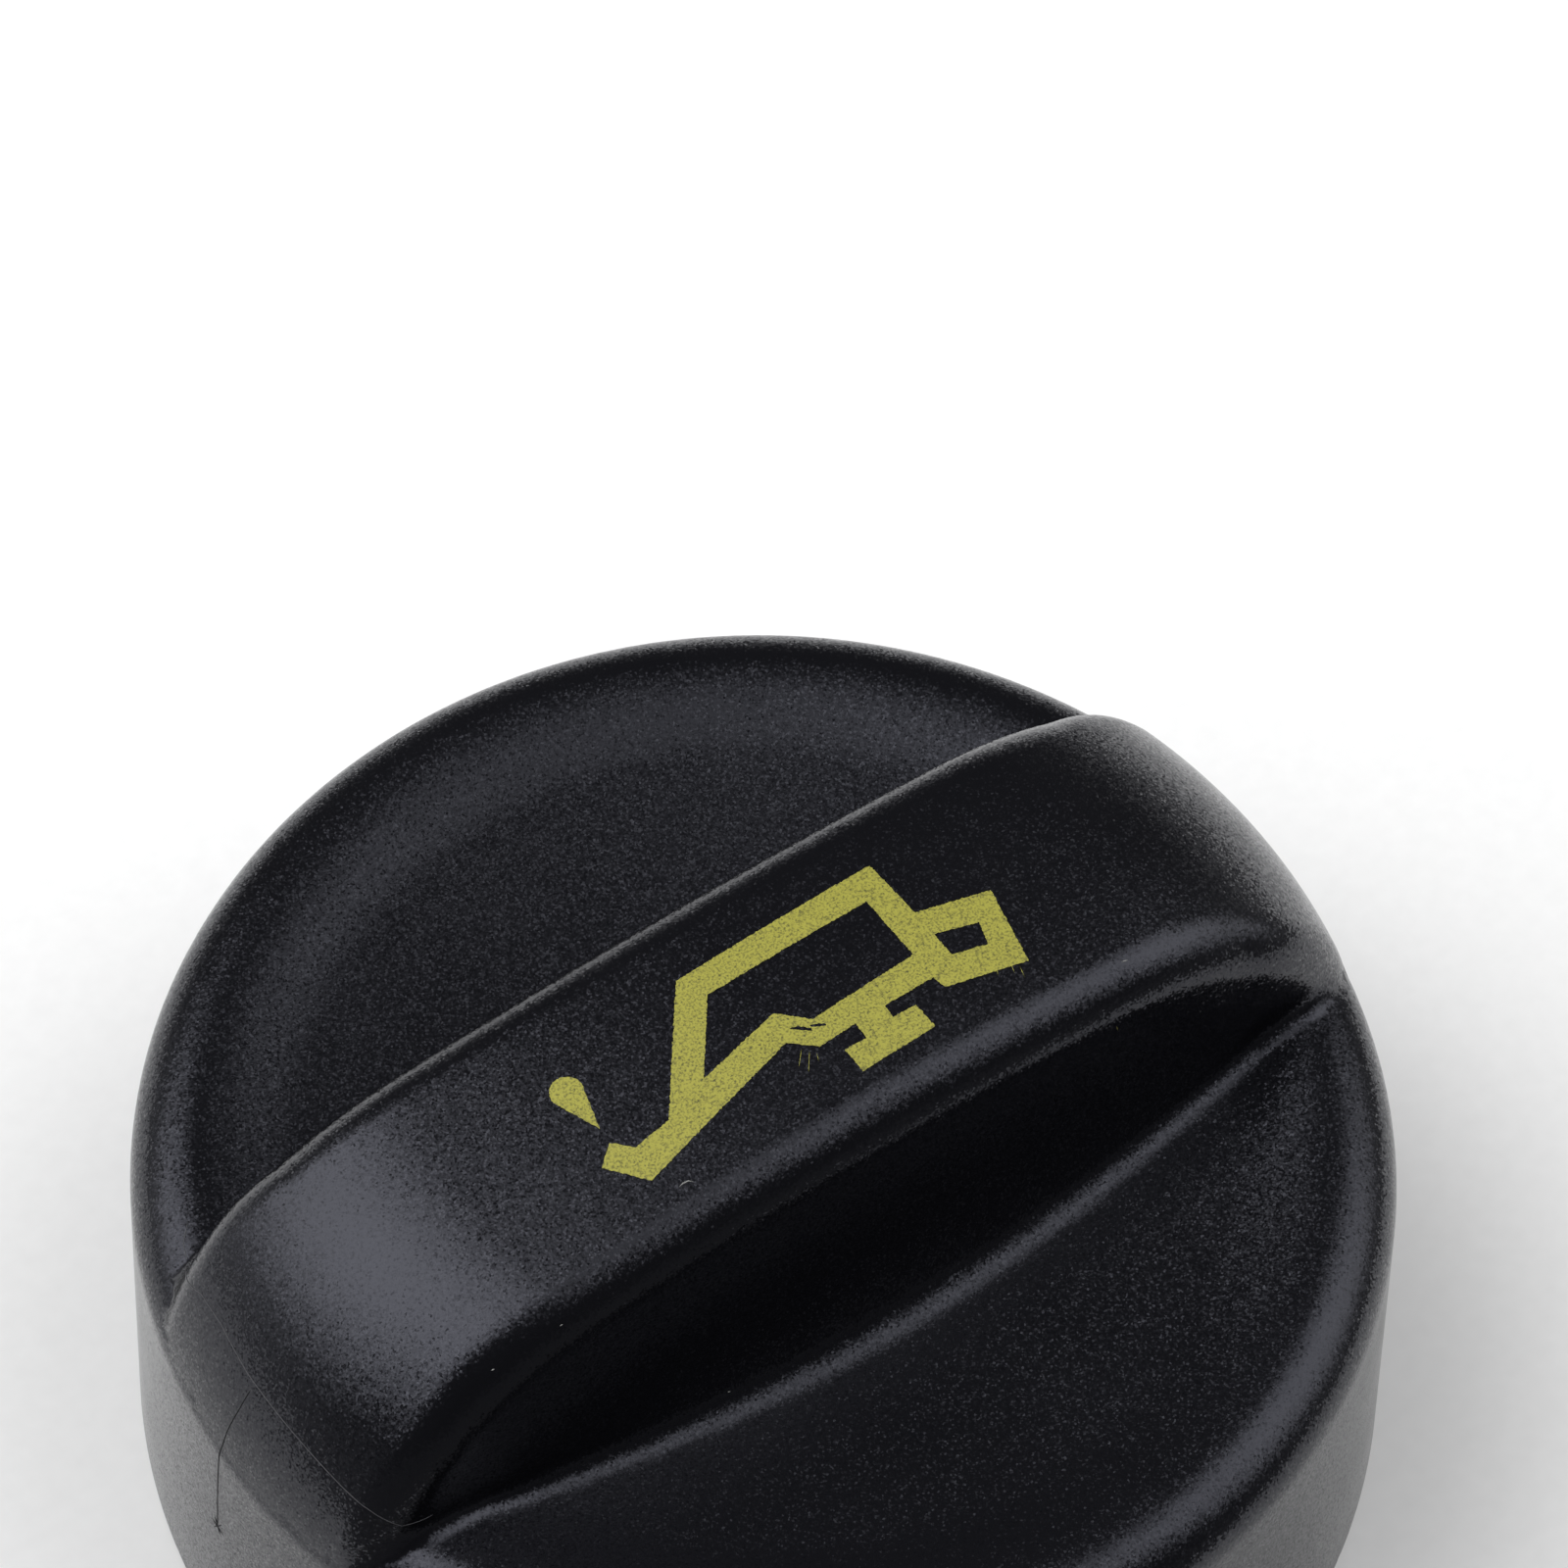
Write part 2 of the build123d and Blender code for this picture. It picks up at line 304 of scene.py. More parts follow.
def skin(field, low, high, pitch):
    """Closed skin of quads on the zero surface of a field.

    The field is sampled on a grid. Each cell with both signs at its corners holds one point, first at
    the mean of the crossings of its edges. Each grid edge that crosses the surface gives one quad
    between its four cells. The points are evened out among their neighbours and settled on the surface.
    """
    axes = [np.arange(a - 1.5 * pitch, b + 2.5 * pitch, pitch) for a, b in zip(low, high)]
    grid = np.stack(np.meshgrid(*axes, indexing="ij"), -1)
    value = field(grid[..., 0], grid[..., 1], grid[..., 2])
    inside = value < 0
    cells = tuple(n - 1 for n in value.shape)
    total = np.zeros(cells + (3,))
    count = np.zeros(cells)
    corners = [(i, j, k) for i in (0, 1) for j in (0, 1) for k in (0, 1)]
    for start in corners:
        for axis in range(3):
            if start[axis]:
                continue
            end = tuple(1 if n == axis else start[n] for n in range(3))
            here = tuple(slice(s, s + n) for s, n in zip(start, cells))
            there = tuple(slice(s, s + n) for s, n in zip(end, cells))
            crossing = inside[here] != inside[there]
            gap = np.where(crossing, value[here] - value[there], 1)
            share = np.where(crossing, value[here] / gap, 0)[..., None]
            total += crossing[..., None] * (grid[here] + share * (grid[there] - grid[here]))
            count += crossing
    mixed = count > 0
    number = np.full(cells, -1)
    number[mixed] = np.arange(mixed.sum())
    points = total[mixed] / count[mixed][:, None]
    quads = []
    for axis in range(3):
        signs = np.moveaxis(inside, axis, 0)
        numbers = np.moveaxis(number, axis, 0)
        i, j, k = np.nonzero((signs[:-1] != signs[1:])[:, 1:-1, 1:-1])
        quad = np.stack([numbers[i, j, k], numbers[i, j + 1, k], numbers[i, j + 1, k + 1], numbers[i, j, k + 1]], 1)
        turned = signs[i, j + 1, k + 1] == (axis == 1)
        quad[turned] = quad[turned][:, ::-1]
        quads.append(quad)
    quads = np.concatenate(quads)
    links = np.concatenate([quads[:, [n, (n + 1) % 4]] for n in range(4)])
    points = settle(field, points, pitch / 2, 2)
    for _ in range(4):
        spread = np.bincount(links[:, 0], minlength=len(points))
        mean = np.stack([np.bincount(links[:, 0], points[links[:, 1], n], len(points)) for n in range(3)], 1)
        points = settle(field, (points + mean / spread[:, None]) / 2, pitch / 2, 1)
    points = settle(field, points, pitch / 4, 3)
    normals = slope_of(field, points)[1]
    return points, quads, normals / np.linalg.norm(normals, axis=1)[:, None]


def mesh_object(name, points, faces, material, normals=None):
    """New object at the origin from points in millimetres."""
    mesh = bpy.data.meshes.new(name)
    mesh.from_pydata(np.asarray(points) * MM, [], faces if isinstance(faces, list) else faces.tolist())
    mesh.validate()
    mesh.shade_smooth()
    if normals is not None:
        mesh.normals_split_custom_set_from_vertices(normals)
    mesh.materials.append(material)
    piece = bpy.data.objects.new(name, mesh)
    bpy.context.scene.collection.objects.link(piece)
    return piece


def tube(path, radius, sides):
    """Closed loop of a round profile along a closed path of points in a level plane.

    A point is the path's point plus the radius times the cosine of an angle along the outward normal
    and the sine of it along Z.
    """
    step = np.roll(path, -1, 0) - np.roll(path, 1, 0)
    out = np.stack([step[:, 1], -step[:, 0], np.zeros(len(path))], 1)
    out /= np.linalg.norm(out, axis=1)[:, None]
    turn = np.linspace(0, 2 * np.pi, sides, endpoint=False)
    turn = turn[None, :, None]
    points = path[:, None] + radius * (np.cos(turn) * out[:, None] + np.sin(turn) * [0, 0, 1])
    return points.reshape(-1, 3), closed_grid(len(path), sides)


def strand(field, path, radius, sides=6):
    """Thin closed thread that lies half sunk in a surface, pointed at both ends.

    The path is cut into short steps and settled on the field. A ring's points are the path's point plus
    the radius times the cosine of an angle along the surface's normal and the sine of it across the path.
    """
    path = np.asarray(path, float)
    run = np.concatenate([[0], np.cumsum(np.linalg.norm(np.diff(path, axis=0), axis=1))])
    at = np.linspace(0, run[-1], max(int(run[-1] / 0.2), 3))
    line = settle(field, np.stack([np.interp(at, run, path[:, n]) for n in range(3)], 1), 1.0, 4)
    normal = slope_of(field, line)[1]
    normal /= np.linalg.norm(normal, axis=1)[:, None]
    across = np.cross(np.gradient(line, axis=0), normal)
    across /= np.linalg.norm(across, axis=1)[:, None]
    turn = np.linspace(0, 2 * np.pi, sides, endpoint=False)[None, :, None]
    rings = line[1:-1, None] + radius * (np.cos(turn) * normal[1:-1, None] + np.sin(turn) * across[1:-1, None])
    rows = len(rings)
    number = np.arange(rows * sides).reshape(rows, sides)
    right = np.roll(number, -1, 1)
    faces = np.stack([number[:-1], right[:-1], right[1:], number[1:]], -1).reshape(-1, 4).tolist()
    faces += [(rows * sides, b, a) for a, b in zip(number[0], right[0])]
    faces += [(rows * sides + 1, a, b) for a, b in zip(number[-1], right[-1])]
    return np.concatenate([rings.reshape(-1, 3), line[[0, -1]]]), faces


def joined(parts):
    """Points and faces of several small meshes as one."""
    points, faces, first = [], [], 0
    for part_points, part_faces in parts:
        points.append(part_points)
        faces += [tuple(int(corner) + first for corner in face) for face in part_faces]
        first += len(part_points)
    return np.concatenate(points), faces


def closed_grid(rows, columns):
    """Quads of a grid that closes on itself both ways."""
    number = np.arange(rows * columns).reshape(rows, columns)
    right = np.roll(number, -1, 0)
    return np.stack([number, right, np.roll(right, -1, 1), np.roll(number, -1, 1)], -1).reshape(-1, 4)


def node(tree, kind, links=None, **settings):
    """Adds a node: settings go to its attributes, links and values to its inputs by name or number."""
    made = tree.nodes.new(kind)
    for name, value in settings.items():
        setattr(made, name, value)
    for name, value in (links or {}).items():
        if isinstance(value, bpy.types.NodeSocket):
            tree.links.new(value, made.inputs[name])
        else:
            made.inputs[name].default_value = value
    return made


def new_material(name):
    """New material and its node tree, which is empty."""
    material = bpy.data.materials.new(name)
    material.use_nodes = True
    tree = material.node_tree
    tree.nodes.clear()
    return material, tree


def rgba(values):
    """A colour with full alpha."""
    return (*values, 1.0)


def grain_height(tree, place, size):
    """Noise that stands for the grain of the spark-eroded mould, with cells of a size in millimetres."""
    return node(
        tree, "ShaderNodeTexNoise", {"Vector": place, "Scale": 1 / (size * MM), "Detail": 2.0, "Roughness": 0.6}
    ).outputs["Fac"]


def moulded_plastic(finish):
    """Glass-filled polyamide from a spark-eroded mould.

    The eye gets deep black with a satin sheen that breaks up into a fine sparkle, and faint patches
    where the moulding is a little glossier. The sparkle comes from small facets that each lean a random
    way: most lean little and a few lean far, because the random numbers are cubed.
    """
    patch_mm, facet_mm, grain_mm, grain_depth_mm = 6.0, 0.1, 0.2, 0.012
    facet_lean = 0.15
    material, tree = new_material("spark_grained_black_polyamide")
    place = node(tree, "ShaderNodeTexCoord").outputs["Object"]
    patches = node(tree, "ShaderNodeTexNoise", {"Vector": place, "Scale": 1 / (patch_mm * MM), "Detail": 3.0})
    gloss = node(
        tree, "ShaderNodeMapRange",
        {"Value": patches.outputs["Fac"], "From Min": 0.3, "From Max": 0.7, "To Min": 0.14, "To Max": 0.20},
    )
    cells = node(tree, "ShaderNodeTexVoronoi", {"Vector": place, "Scale": 1 / (facet_mm * MM)}).outputs["Color"]
    lean = node(
        tree, "ShaderNodeVectorMath", {0: cells, 1: (2.0,) * 3, 2: (-1.0,) * 3}, operation="MULTIPLY_ADD"
    ).outputs["Vector"]
    squared = node(tree, "ShaderNodeVectorMath", {0: lean, 1: lean}, operation="MULTIPLY").outputs["Vector"]
    cubed = node(tree, "ShaderNodeVectorMath", {0: squared, 1: lean}, operation="MULTIPLY").outputs["Vector"]
    level = node(tree, "ShaderNodeNewGeometry").outputs["Normal"]
    facets = node(
        tree, "ShaderNodeVectorMath", {0: cubed, 1: (facet_lean,) * 3, 2: level}, operation="MULTIPLY_ADD"
    ).outputs["Vector"]
    relief = node(
        tree, "ShaderNodeBump",
        {"Height": grain_height(tree, place, grain_mm), "Strength": 1.0, "Distance": grain_depth_mm * MM,
         "Normal": facets},
    )
    shader = node(
        tree, "ShaderNodeBsdfPrincipled",
        {"Base Color": rgba(finish.plastic), "Roughness": gloss.outputs["Result"], "IOR": 1.53,
         "Specular IOR Level": 0.33, "Specular Tint": (0.83, 0.85, 1.0, 1.0), "Normal": relief.outputs["Normal"]},
    )
    node(tree, "ShaderNodeOutputMaterial", {"Surface": shader.outputs["BSDF"]})
    return material


def seal_rubber(finish):
    """Moulded nitrile rubber: matt black with a soft sheen and a faint cloudy bloom."""
    bloom_mm = 2.5
    material, tree = new_material("moulded_nitrile_rubber")
    place = node(tree, "ShaderNodeTexCoord").outputs["Object"]
    bloom = node(tree, "ShaderNodeTexNoise", {"Vector": place, "Scale": 1 / (bloom_mm * MM), "Detail": 4.0})
    dull = node(
        tree, "ShaderNodeMapRange",
        {"Value": bloom.outputs["Fac"], "From Min": 0.3, "From Max": 0.7, "To Min": 0.55, "To Max": 0.7},
    )
    shader = node(
        tree, "ShaderNodeBsdfPrincipled",
        {"Base Color": rgba(finish.rubber), "Roughness": dull.outputs["Result"], "IOR": 1.52},
    )
    node(tree, "ShaderNodeOutputMaterial", {"Surface": shader.outputs["BSDF"]})
    return material


def pad_ink(finish):
    """Pad-printed ink: a thin opaque yellow that takes the grain under it, with darker pin holes."""
    grain_mm, grain_depth_mm = 0.12, 0.02
    material, tree = new_material("pad_printed_yellow_ink")
    place = node(tree, "ShaderNodeTexCoord").outputs["Object"]
    grain = grain_height(tree, place, grain_mm)
    thin = node(
        tree, "ShaderNodeMapRange",
        {"Value": grain, "From Min": 0.45, "From Max": 0.75, "To Min": 0.0, "To Max": 0.9},
    )
    tone = node(
        tree, "ShaderNodeMix", {"Factor": thin.outputs["Result"], 6: rgba(finish.ink), 7: rgba(finish.plastic)},
        data_type="RGBA",
    )
    relief = node(tree, "ShaderNodeBump", {"Height": grain, "Strength": 1.0, "Distance": grain_depth_mm * MM})
    shader = node(
        tree, "ShaderNodeBsdfPrincipled",
        {"Base Color": tone.outputs[2], "Roughness": 0.5, "IOR": 1.5, "Normal": relief.outputs["Normal"]},
    )
    node(tree, "ShaderNodeOutputMaterial", {"Surface": shader.outputs["BSDF"]})
    return material


def cap_sizes(context):
    """Sizes of the cap in millimetres, with those that follow from them."""
    c = millimetres(context.scene.cap_form)
    c.land_height = c.rim_height - c.land_depth
    c.crest_radius = c.foot_radius - (c.rim_height - c.shoulder_radius) * math.tan(c.skirt_draft) - c.shoulder_radius
    c.land_radius = c.crest_radius - c.rim_slope
    return c


class CapBody(bpy.types.Operator):
    """Make the moulding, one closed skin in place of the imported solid."""

    bl_idname = "filler_cap.body"
    bl_label = "Cap body"

    def execute(self, context):
        c = cap_sizes(context)
        points, quads, normals = skin(
            lambda x, y, z: cap_field(c, x, y, z),
            np.array(CAP_LOW) / MM, np.array(CAP_HIGH) / MM, c.skin_pitch,
        )
        material = moulded_plastic(context.scene.cap_finish)
        piece = mesh_object("moulded_cap", points, quads, material, normals)
        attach(piece, "root")
        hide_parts("cap_body")
        return {"FINISHED"}


class CapSeal(bpy.types.Operator):
    """Make the rubber ring on the plug."""

    bl_idname = "filler_cap.seal"
    bl_label = "Seal ring"

    def execute(self, context):
        c = cap_sizes(context)
        turn = np.linspace(0, 2 * np.pi, 180, endpoint=False)
        middle = c.ring_radius - c.ring_cord / 2
        path = np.stack([middle * np.cos(turn), middle * np.sin(turn), np.full(180, c.ring_height)], 1)
        points, quads = tube(path, c.ring_cord / 2, 32)
        piece = mesh_object("rubber_seal", points, quads, seal_rubber(context.scene.cap_finish))
        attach(piece, "root")
        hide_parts("seal_ring")
        return {"FINISHED"}


# Oil can sign, as flat outlines in millimetres along and across the bar
CAN_OUTLINE = (
    (-2.5, 3.85), (8.7, 4.15), (8.9, 0.77), (12.65, -0.07), (11.8, -4.25), (7.65, -3.4), (7.5, -2.66),
    (4.7, -2.7), (4.65, -3.43), (5.95, -3.46), (6.0, -4.9), (1.8, -5.05), (1.76, -3.65), (2.96, -3.68),
    (3.0, -2.75), (0.92, -2.88), (-0.27, -1.83), (-9.48, -4.3), (-10.95, -2.43), (-9.92, -1.54),
    (-9.1, -2.44), (-7.05, -2.14),
)
CAN_WINDOW = ((-1.74, 2.38), (7.36, 2.52), (7.45, -1.12), (1.48, -1.47), (0.17, -0.19), (-4.5, -1.28))
HANDLE_WINDOW = ((8.94, -0.69), (11.1, -1.28), (10.74, -2.49), (8.95, -2.08))
DROP_MIDDLE = (-9.99, 1.85)
DROP_RADIUS = 0.8
DROP_TIP = (-9.87, -0.69)
INK_CRACKS = (
    ((0.28, -1.29), (0.74, -1.41), (1.17, -1.83), (1.11, -1.98), (0.62, -1.59)),
    ((1.19, -1.65), (1.85, -1.96), (1.79, -2.12), (1.2, -1.78)),
)


def drop_outline():
    """Round end and pointed tip: an arc about the middle, closed by the two tangents from the tip."""
    middle = np.array(DROP_MIDDLE)
    reach = np.array(DROP_TIP) - middle
    aim = math.atan2(reach[1], reach[0])
    open_half = math.acos(DROP_RADIUS / np.hypot(*reach))
    turn = np.linspace(aim + open_half, aim + 2 * math.pi - open_half, 40)
    arc = middle + DROP_RADIUS * np.stack([np.cos(turn), np.sin(turn)], 1)
    return np.concatenate([arc, [DROP_TIP]])


def ragged(outline, spacing, amount, draw):
    """Closed outline cut into short steps, each point moved a little by a random amount."""
    outline = np.asarray(outline, float)
    pieces = []
    for start, end in zip(outline, np.roll(outline, -1, 0)):
        steps = max(int(np.hypot(*(end - start)) / spacing), 1)
        share = np.arange(steps)[:, None] / steps
        pieces.append(start + share * (end - start))
    points = np.concatenate(pieces)
    return points + draw.normal(0, amount, points.shape)


def inside_outline(points, outline):
    """Which points lie inside a closed outline, by the count of its edges to their right."""
    x, y = points[:, 0][:, None], points[:, 1][:, None]
    x0, y0 = outline[:, 0], outline[:, 1]
    x1, y1 = np.roll(x0, -1), np.roll(y0, -1)
    level = (y0 > y) != (y1 > y)
    cross = x0 + (y - y0) * (x1 - x0) / np.where(y1 == y0, 1e-9, y1 - y0)
    return (level & (x < cross)).sum(1) % 2 == 1


class CapSign(bpy.types.Operator):
    """Print the oil can sign on the bar, as a thin layer that follows the crown."""

    bl_idname = "filler_cap.sign"
    bl_label = "Printed sign"

    def execute(self, context):
        c = cap_sizes(context)
        step, wobble, lattice_step, lift = 0.09, 0.016, 0.6, 0.012
        draw = np.random.default_rng(7)
        fields = [CAN_OUTLINE, drop_outline()]
        holes = [CAN_WINDOW, HANDLE_WINDOW, *INK_CRACKS]
        outlines = [ragged(o, step, wobble, draw) for o in fields + holes]
        lattice = np.meshgrid(np.arange(-12, 13.5, lattice_step), np.arange(-6, 5, lattice_step))
        points = np.concatenate([*outlines, np.stack(lattice, -1).reshape(-1, 2)])
        edges = []
        first = 0
        for outline in outlines:
            number = np.arange(first, first + len(outline))
            edges += np.stack([number, np.roll(number, -1)], 1).tolist()
            first += len(outline)
        flat, _, faces, *_ = delaunay_2d_cdt([Vector(p) for p in points], edges, [], 0, 1e-5)
        flat = np.array(flat)
        faces = np.array(faces)
        middles = flat[faces].mean(1)
        kept = inside_outline(middles, outlines[0]) | inside_outline(middles, outlines[1])
        for hole in outlines[2:]:
            kept &= ~inside_outline(middles, hole)
        used, faces = np.unique(faces[kept], return_inverse=True)
        flat = flat[used]
        faces = faces.reshape(-1, 3)
        ball = c.bar_crown_radius
        z = c.bar_height - ball + np.sqrt(ball ** 2 - (flat ** 2).sum(1)) + lift
        points = np.column_stack([flat, z])
        piece = mesh_object("printed_oil_can", points, faces, pad_ink(context.scene.cap_finish))
        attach(piece, "root")
        return {"FINISHED"}


# Marks on the moulding, as paths in millimetres
FLASH_LINE = (
    (-25.04, 11.23, 20.67), (-25.92, 10.3, 20.56), (-26.33, 9.24, 20.62), (-27.46, 6.22, 23.18), (-27.66, 4.24, 23.47),
    (-28.05, 1.33, 23.31), (-28.05, -1.78, 23.26), (-27.66, -5.96, 22.95), (-27.22, -7.47, 22.74),
    (-26.24, -8.61, 21.87), (-24.64, -8.87, 21.74),
)
FIBRE = (
    (-28.29, 0.75, 22.94), (-28.98, 0.85, 21.51), (-29.51, 1.04, 19.95), (-29.89, 1.15, 18.37), (-29.99, 1.42, 15.46),
    (-30.02, 1.55, 13.23), (-30.07, 1.65, 10.73),
)
FIBRE_KNOT = (
    ((-30.07, 1.23, 11.4), (-30.07, 2.07, 10.0)), ((-30.07, 1.1, 10.6), (-30.07, 2.2, 10.7)),
    ((-30.07, 1.4, 10.2), (-30.07, 1.9, 11.3)),
)
LINT = (
    ((-8.7, -5.3, 30.7), (-8.2, -5.2, 30.7), (-7.9, -5.5, 30.7)), ((-9.4, -10.5, 20.1), (-9.2, -10.55, 20.1)),
    ((-16.8, -7.6, 29.2), (-16.6, -7.55, 29.2)), ((-20.4, -7.35, 28.4), (-20.2, -7.35, 28.4)),
    ((15.5, -6.5, 30.0), (15.9, -6.6, 30.0)),
)
INK_WHISKERS = (
    ((10.05, -2.82, 30.6), (9.65, -3.68, 30.6)), ((10.45, -3.27, 30.6), (10.11, -4.22, 30.6)),
    ((11.1, -3.55, 30.6), (10.83, -4.54, 30.5)), ((11.28, -4.24, 30.5), (11.09, -4.96, 30.5)),
    ((0.15, -2.49, 31.0), (-0.57, -3.28, 30.9)), ((0.39, -2.78, 31.0), (-0.35, -3.75, 30.9)),
    ((0.59, -3.04, 30.9), (0.4, -3.55, 30.9)), ((9.34, -3.03, 30.7), (9.09, -3.52, 30.7)),
    ((14.1, -8.1, 27.9), (14.2, -8.4, 27.5)),
)


def dull_thread(name, tone, roughness):
    """Dull thin things such as lint, fibres and flash: a line of one tone with paler and darker stretches."""
    stretch_mm = 0.4
    material, tree = new_material(name)
    place = node(tree, "ShaderNodeTexCoord").outputs["Object"]
    stretches = node(tree, "ShaderNodeTexNoise", {"Vector": place, "Scale": 1 / (stretch_mm * MM), "Detail": 2.0})
    dark, pale = (rgba([share * part for part in tone]) for share in (0.6, 1.4))
    shade = node(
        tree, "ShaderNodeMix", {"Factor": stretches.outputs["Fac"], 6: dark, 7: pale}, data_type="RGBA"
    )
    shader = node(tree, "ShaderNodeBsdfPrincipled", {"Base Color": shade.outputs[2], "Roughness": roughness})
    node(tree, "ShaderNodeOutputMaterial", {"Surface": shader.outputs["BSDF"]})
    return material


class CapMarks(bpy.types.Operator):
    """Lay the marks on the moulding: flash line, stray fibre, lint and whiskers of ink."""

    bl_idname = "filler_cap.marks"
    bl_label = "Marks"

    def execute(self, context):
        c = cap_sizes(context)
        finish = context.scene.cap_finish

        def field(x, y, z):
            return cap_field(c, x, y, z)

        marks = (
            ("flash_line", [FLASH_LINE], 0.022, dull_thread("moulding_flash", finish.flash, 0.4)),
            ("stray_fibre", [FIBRE, *FIBRE_KNOT], 0.028, dull_thread("cotton_fibre", finish.fibre, 0.9)),
            ("lint", LINT, 0.035, dull_thread("paper_lint", finish.lint, 0.9)),
            ("ink_whiskers", INK_WHISKERS, 0.012, dull_thread("thin_ink", finish.ink, 0.6)),
        )
        for name, paths, radius, material in marks:
            points, faces = joined([strand(field, path, radius) for path in paths])
            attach(mesh_object(name, points, faces, material), "root")
        return {"FINISHED"}


def white_floor(finish):
    """Sheet of paper: plain matt white with faint fibres, which keeps the cap's soft shadow."""
    fibre_mm = 1.1
    material, tree = new_material("matt_white_paper")
    place = node(tree, "ShaderNodeTexCoord").outputs["Object"]
    fibre = node(tree, "ShaderNodeTexNoise", {"Vector": place, "Scale": 1 / (fibre_mm * MM), "Detail": 3.0})
    tone = node(
        tree, "ShaderNodeMix",
        {"Factor": fibre.outputs["Fac"], 6: rgba(finish.floor), 7: rgba(linear("#fbfbfb"))}, data_type="RGBA",
    )
    shader = node(tree, "ShaderNodeBsdfDiffuse", {"Color": tone.outputs[2]})
    node(tree, "ShaderNodeOutputMaterial", {"Surface": shader.outputs["BSDF"]})
    return material


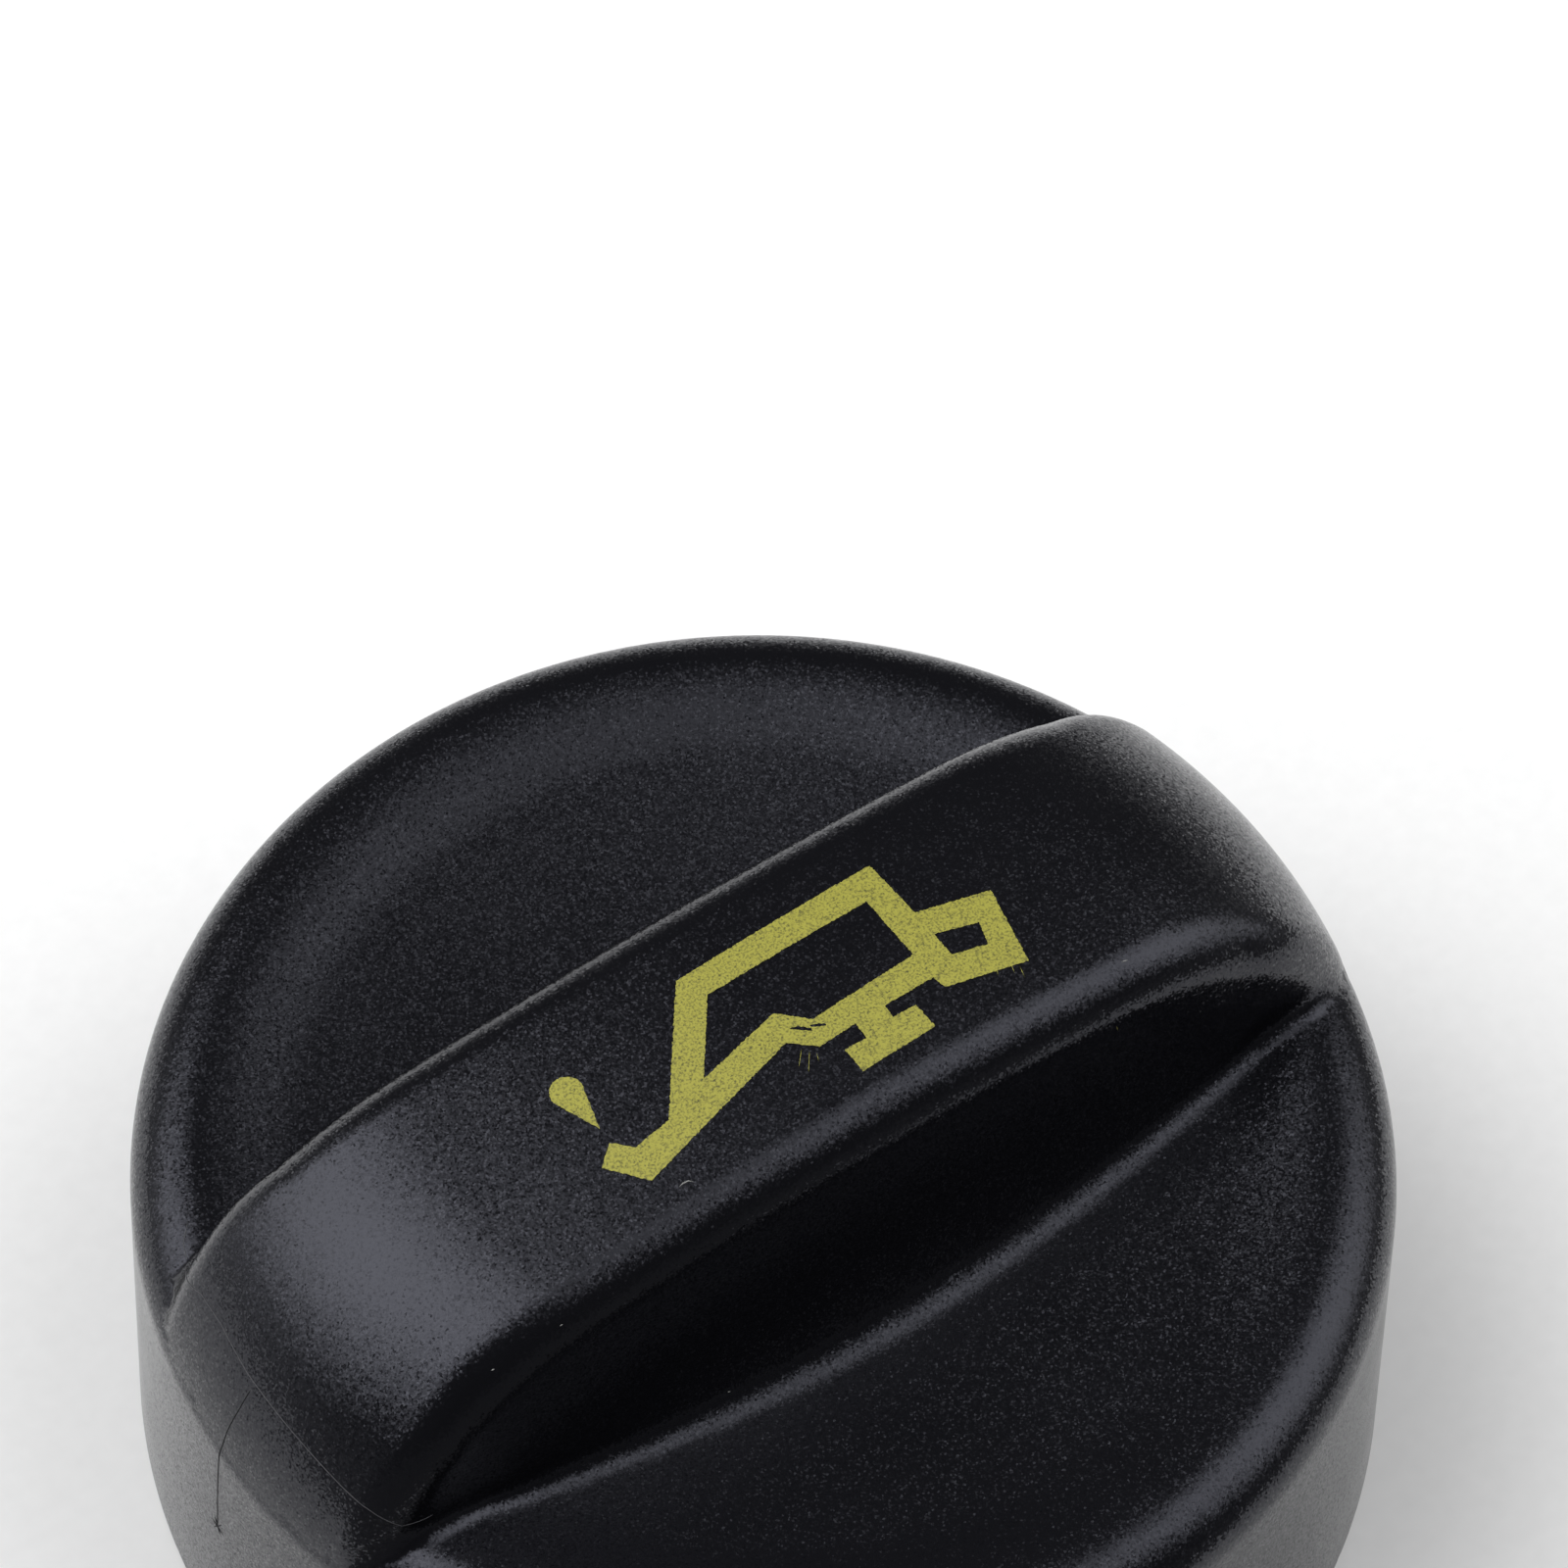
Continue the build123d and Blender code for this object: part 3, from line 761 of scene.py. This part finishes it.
class CapStageSet(bpy.types.Operator):
    """Lay the floor and set the lamps, the surroundings and the camera."""

    bl_idname = "filler_cap.stage"
    bl_label = "Stage"

    def execute(self, context):
        scene = context.scene
        stage = scene.cap_stage
        scene.view_settings.view_transform = "Standard"
        self.lay_floor(scene, stage)
        self.light(scene, stage)
        self.place_camera(scene, stage)
        return {"FINISHED"}

    def lay_floor(self, scene, stage):
        """Sheet of paper under the cap, square to the camera, with its front edge close before the cap."""
        reach, right, front, drop = 450.0, 140.0, 50.0, 0.02
        u, v = np.array(((-reach, -front), (right, -front), (right, reach), (-reach, reach))).T
        turn = stage.camera_turn
        x = u * math.cos(turn) - v * math.sin(turn)
        y = u * math.sin(turn) + v * math.cos(turn)
        points = np.column_stack([x, y, np.full(4, -drop)])
        mesh_object("paper_floor", points, [(0, 1, 2, 3)], white_floor(scene.cap_finish))

    def softbox(self, scene, name, turn, rise, size, power):
        """Lamp that faces the cap from a turn about Z and a rise above the floor, in degrees.

        It is brightest in its middle and fades to nothing at its edge, as a big diffuser over one bulb does.
        """
        turn, rise = math.radians(turn), math.radians(rise)
        way = Vector((math.cos(rise) * math.cos(turn), math.cos(rise) * math.sin(turn), math.sin(rise)))
        lamp = bpy.data.lights.new(name, "AREA")
        lamp.shape = "RECTANGLE"
        lamp.size, lamp.size_y = size
        lamp.energy = power
        lamp.use_nodes = True
        tree = lamp.node_tree
        tree.nodes.clear()
        spot = node(tree, "ShaderNodeNewGeometry").outputs["Parametric"]
        reach = node(tree, "ShaderNodeVectorMath", {0: spot, 1: (0.5, 0.5, 0.0)}, operation="DISTANCE").outputs["Value"]
        fade = node(
            tree, "ShaderNodeMapRange", {"Value": reach, "From Max": 0.5, "To Min": 1.0, "To Max": 0.0},
            interpolation_type="SMOOTHSTEP",
        )
        shine = node(tree, "ShaderNodeEmission", {"Strength": fade.outputs["Result"]})
        node(tree, "ShaderNodeOutputLight", {"Surface": shine.outputs["Emission"]})
        holder = bpy.data.objects.new(name, lamp)
        holder.location = way * scene.cap_stage.box_distance
        holder.rotation_euler = way.to_track_quat("Z", "Y").to_euler()
        scene.collection.objects.link(holder)

    def light(self, scene, stage):
        """Softboxes behind on the left and on the right, in a dim room with a pale backdrop low down behind."""
        self.softbox(scene, "left_softbox", 136.0, 51.0, (1.35, 1.9), stage.left_box)
        self.softbox(scene, "right_softbox", -21.0, 46.5, (1.25, 1.8), stage.right_box)
        world = bpy.data.worlds.new("dim_studio")
        scene.world = world
        world.use_nodes = True
        tree = world.node_tree
        tree.nodes.clear()
        way = node(tree, "ShaderNodeTexCoord").outputs["Generated"]
        split = node(tree, "ShaderNodeSeparateXYZ", {"Vector": way})
        high = node(
            tree, "ShaderNodeMapRange", {"Value": split.outputs["Z"], "From Min": 0.0, "From Max": 0.32},
            interpolation_type="SMOOTHSTEP",
        )
        glow = node(
            tree, "ShaderNodeMapRange",
            {"Value": split.outputs["Y"], "From Min": 0.0, "From Max": 0.5,
             "To Min": stage.front_glow, "To Max": stage.back_glow},
        )
        level = node(
            tree, "ShaderNodeMix", {"Factor": high.outputs["Result"], "A": glow.outputs["Result"], "B": stage.room}
        )
        seen = node(tree, "ShaderNodeLightPath").outputs["Is Camera Ray"]
        shown = node(tree, "ShaderNodeMix", {"Factor": seen, "A": level.outputs["Result"], "B": 1.0})
        shine = node(tree, "ShaderNodeBackground", {"Color": shown.outputs["Result"], "Strength": 1.0})
        node(tree, "ShaderNodeOutputWorld", {"Surface": shine.outputs["Background"]})

    def place_camera(self, scene, stage):
        """Camera from its turn, rise and roll about the middle of the rim's crest."""
        rise, roll, turn = stage.camera_rise, stage.camera_roll, stage.camera_turn
        back = Vector((0, -math.cos(rise), math.sin(rise)))
        side = Vector((1, 0, 0))
        up = back.cross(side)
        right = math.cos(roll) * side + math.sin(roll) * up
        top = math.cos(roll) * up - math.sin(roll) * side
        place = stage.camera_distance * back + stage.aim_right * right + stage.aim_down * top
        axes = Matrix((right, top, back)).transposed().to_4x4()
        swing = Matrix.Rotation(turn, 4, "Z")
        data = bpy.data.cameras.new("photo_camera")
        data.sensor_width = 36.0
        data.lens = stage.lens
        data.clip_start = 0.01
        camera = bpy.data.objects.new("photo_camera", data)
        lift = Matrix.Translation((0, 0, scene.cap_form.rim_height))
        camera.matrix_world = lift @ swing @ Matrix.Translation(place) @ axes
        scene.collection.objects.link(camera)
        scene.camera = camera


class CapPanel(bpy.types.Panel):
    """Sidebar panel with the cap's steps and sizes."""

    bl_idname = "VIEW3D_PT_filler_cap"
    bl_label = "Oil filler cap"
    bl_space_type = "VIEW_3D"
    bl_region_type = "UI"
    bl_category = "Filler cap"

    def draw(self, context):
        for operator in (CapBody, CapSeal, CapSign, CapMarks, CapStageSet):
            self.layout.operator(operator.bl_idname)
        for group in (context.scene.cap_form, context.scene.cap_finish, context.scene.cap_stage):
            box = self.layout.box()
            for name in group.bl_rna.properties.keys():
                if name not in ("rna_type", "name"):
                    box.prop(group, name)


CLASSES = (CapForm, CapFinish, CapStage, CapBody, CapSeal, CapSign, CapMarks, CapStageSet, CapPanel)


def register():
    """Register the classes and hang the settings on the scene."""
    for cls in CLASSES:
        bpy.utils.register_class(cls)
    bpy.types.Scene.cap_form = bpy.props.PointerProperty(type=CapForm)
    bpy.types.Scene.cap_finish = bpy.props.PointerProperty(type=CapFinish)
    bpy.types.Scene.cap_stage = bpy.props.PointerProperty(type=CapStage)


def unregister():
    """Take the settings and the classes out again."""
    del bpy.types.Scene.cap_stage
    del bpy.types.Scene.cap_finish
    del bpy.types.Scene.cap_form
    for cls in reversed(CLASSES):
        bpy.utils.unregister_class(cls)


def main():
    """Build every piece and the stage."""
    register()
    bpy.ops.filler_cap.body()
    bpy.ops.filler_cap.seal()
    bpy.ops.filler_cap.sign()
    bpy.ops.filler_cap.marks()
    bpy.ops.filler_cap.stage()
    bpy.context.view_layer.update()


if __name__ == "__main__":
    main()
